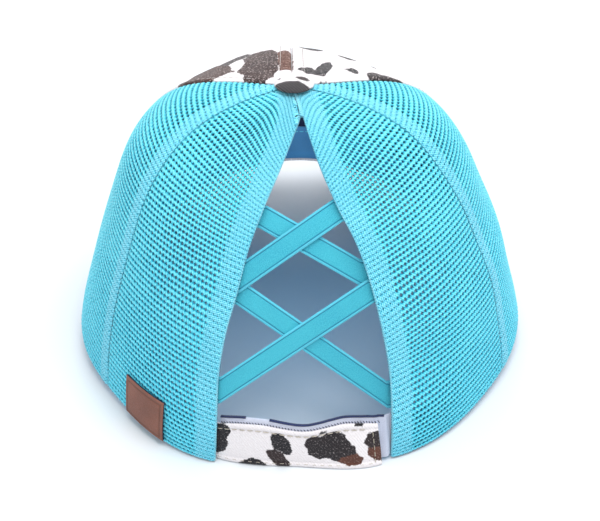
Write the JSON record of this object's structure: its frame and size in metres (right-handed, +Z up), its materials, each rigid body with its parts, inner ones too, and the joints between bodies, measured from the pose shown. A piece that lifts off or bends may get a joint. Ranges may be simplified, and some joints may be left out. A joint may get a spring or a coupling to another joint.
{
  "type": "ponytail baseball cap",
  "caption": "Baseball cap of net and cow-print canvas with a tall back opening for a ponytail, crossed by elastics, a tab closure, a curved peak and a top button.",
  "frame": {"origin": "on the floor, under the middle of the cap's box", "axes": "+Z up; +Y towards the back, where the ponytail opening is; -Y towards the peak; +X towards the wearer's left"},
  "size_m": [0.1918, 0.255, 0.1302],
  "materials": {
    "canvas": "off-white twill canvas with dark cow spots",
    "net": "sky-blue knitted net with through holes",
    "elastic": "sky-blue ribbed elastic",
    "sweatband_cloth": "mid-blue brushed twill",
    "loop_tape": "pale lavender loop tape",
    "leather": "brown imitation leather, matt"
  },
  "bodies": {
    "root": {"front_panel_left": "canvas", "front_panel_right": "canvas", "side_panel_left": "net", "side_panel_right": "net", "back_panel_left": "net", "back_panel_right": "net", "opening_hem_left": "net", "opening_hem_right": "net", "elastic_upper_front": "elastic", "elastic_upper_behind": "elastic", "elastic_lower_front": "elastic", "elastic_lower_behind": "elastic", "sweatband": "sweatband_cloth", "closure_tab": "canvas", "closure_loop_strap": "loop_tape", "side_label": "leather", "button": "canvas", "peak": "canvas"}
  },
  "joints": []
}
